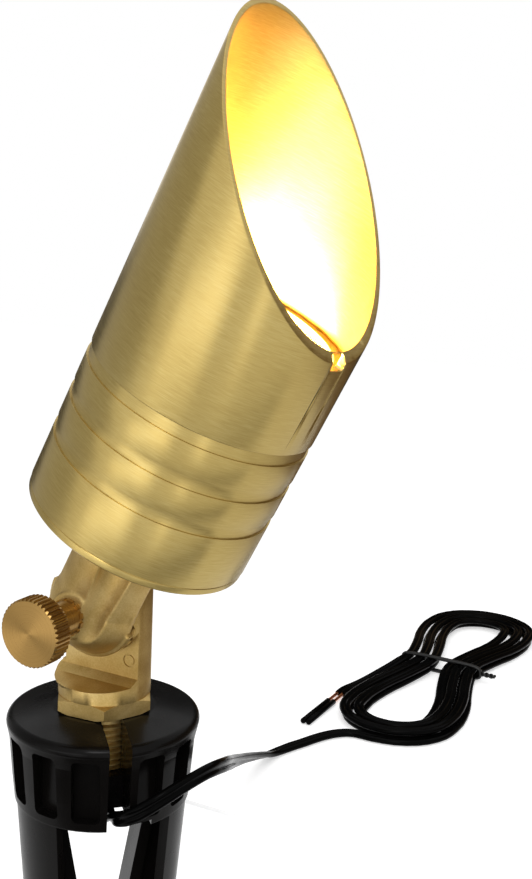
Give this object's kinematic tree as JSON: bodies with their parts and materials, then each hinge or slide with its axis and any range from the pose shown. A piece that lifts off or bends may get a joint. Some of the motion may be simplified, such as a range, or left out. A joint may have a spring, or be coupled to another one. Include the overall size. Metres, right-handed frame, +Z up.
{
  "type": "landscape spotlight",
  "caption": "Low-voltage brass garden spotlight with a slant-cut glare shroud, a toothed tilting knuckle, a black ground stake and a hank of flat twin lead.",
  "frame": {"origin": "soil line on the ground stake's axis, 52 mm below the top of the stake's cap", "axes": "+Z up along the stake, +X the way the lamp head tilts, +Y away from the thumb screw's knob"},
  "size_m": [0.0988, 0.3229, 0.4082],
  "materials": {
    "brass_turned": "lathe turned, satin, clear",
    "brass_cast": "cast and machined, satin",
    "stake_black": "moulded, satin",
    "cord_black": "soft vinyl, low gloss",
    "rubber_black": "moulded, matt",
    "silicone_pale": "moulded, matt",
    "steel_plate": "zinc plated",
    "ceramic_white": "unglazed steatite",
    "pin_metal": "nickel plated",
    "lamp_aluminium": "die cast, pearl",
    "led_white": "phosphor and white board",
    "lens_plastic": "moulded clear optic",
    "cover_glass": "clear tempered",
    "copper_bare": "bright drawn copper"
  },
  "bodies": {
    "stake": {"ground_stake": "stake_black", "lead_stretch": "cord_black", "lead_hank": "cord_black", "lead_tie": "stake_black", "bare_copper": "copper_bare", "lead_slugs": "cord_black"},
    "base": {"knuckle_base": "brass_cast", "cord_grommet": "rubber_black", "base_lead": "cord_black"},
    "head": {"knuckle_arm": "brass_cast", "arm_seal": "rubber_black", "arm_lock_nut": "brass_turned", "lamp_housing": "brass_turned", "housing_o_ring": "rubber_black", "holder_bridge": "steel_plate", "holder_screws": "steel_plate", "lamp_holder": "ceramic_white", "holder_contacts": "brass_turned", "head_leads": "cord_black", "lamp_pins": "pin_metal", "lamp_body": "lamp_aluminium", "led_board": "led_white", "lamp_lens": "lens_plastic", "lens_gasket": "silicone_pale", "cover_glass": "cover_glass", "lock_washer": "brass_turned"},
    "screw": {"thumb_screw": "brass_turned"},
    "ring": {"lens_ring": "brass_turned"},
    "shroud": {"glare_shroud": "brass_turned"}
  },
  "joints": [
    {"name": "base_swivel", "type": "hinge", "parent": "stake", "child": "base", "pos_m": [0, 0, 0.052], "axis": [0, 0, 1], "range_deg": [-90, 90]},
    {"name": "head_tilt", "type": "hinge", "parent": "base", "child": "head", "pos_m": [0, -0.0042, 0.0825], "axis": [0, 1, 0], "range_deg": [-70, 50]},
    {"name": "thumb_screw_turn", "type": "hinge", "parent": "head", "child": "screw", "pos_m": [0, -0.0226, 0.0825], "axis": [0, -1, 0], "range_deg": [0, 180]},
    {"name": "ring_slide", "type": "slide", "parent": "head", "child": "ring", "axis": [0.4478, 0, 0.8942], "range_m": [0, 0.0151]},
    {"name": "shroud_turn", "type": "hinge", "parent": "ring", "child": "shroud", "pos_m": [0, -0.0042, 0.0825], "axis": [0.4478, 0, 0.8942], "range_deg": [0, 3600]}
  ],
  "couplings": [
    {"joint": "ring_slide", "follows": "shroud_turn", "m_per_rad": 0.00023873}
  ]
}
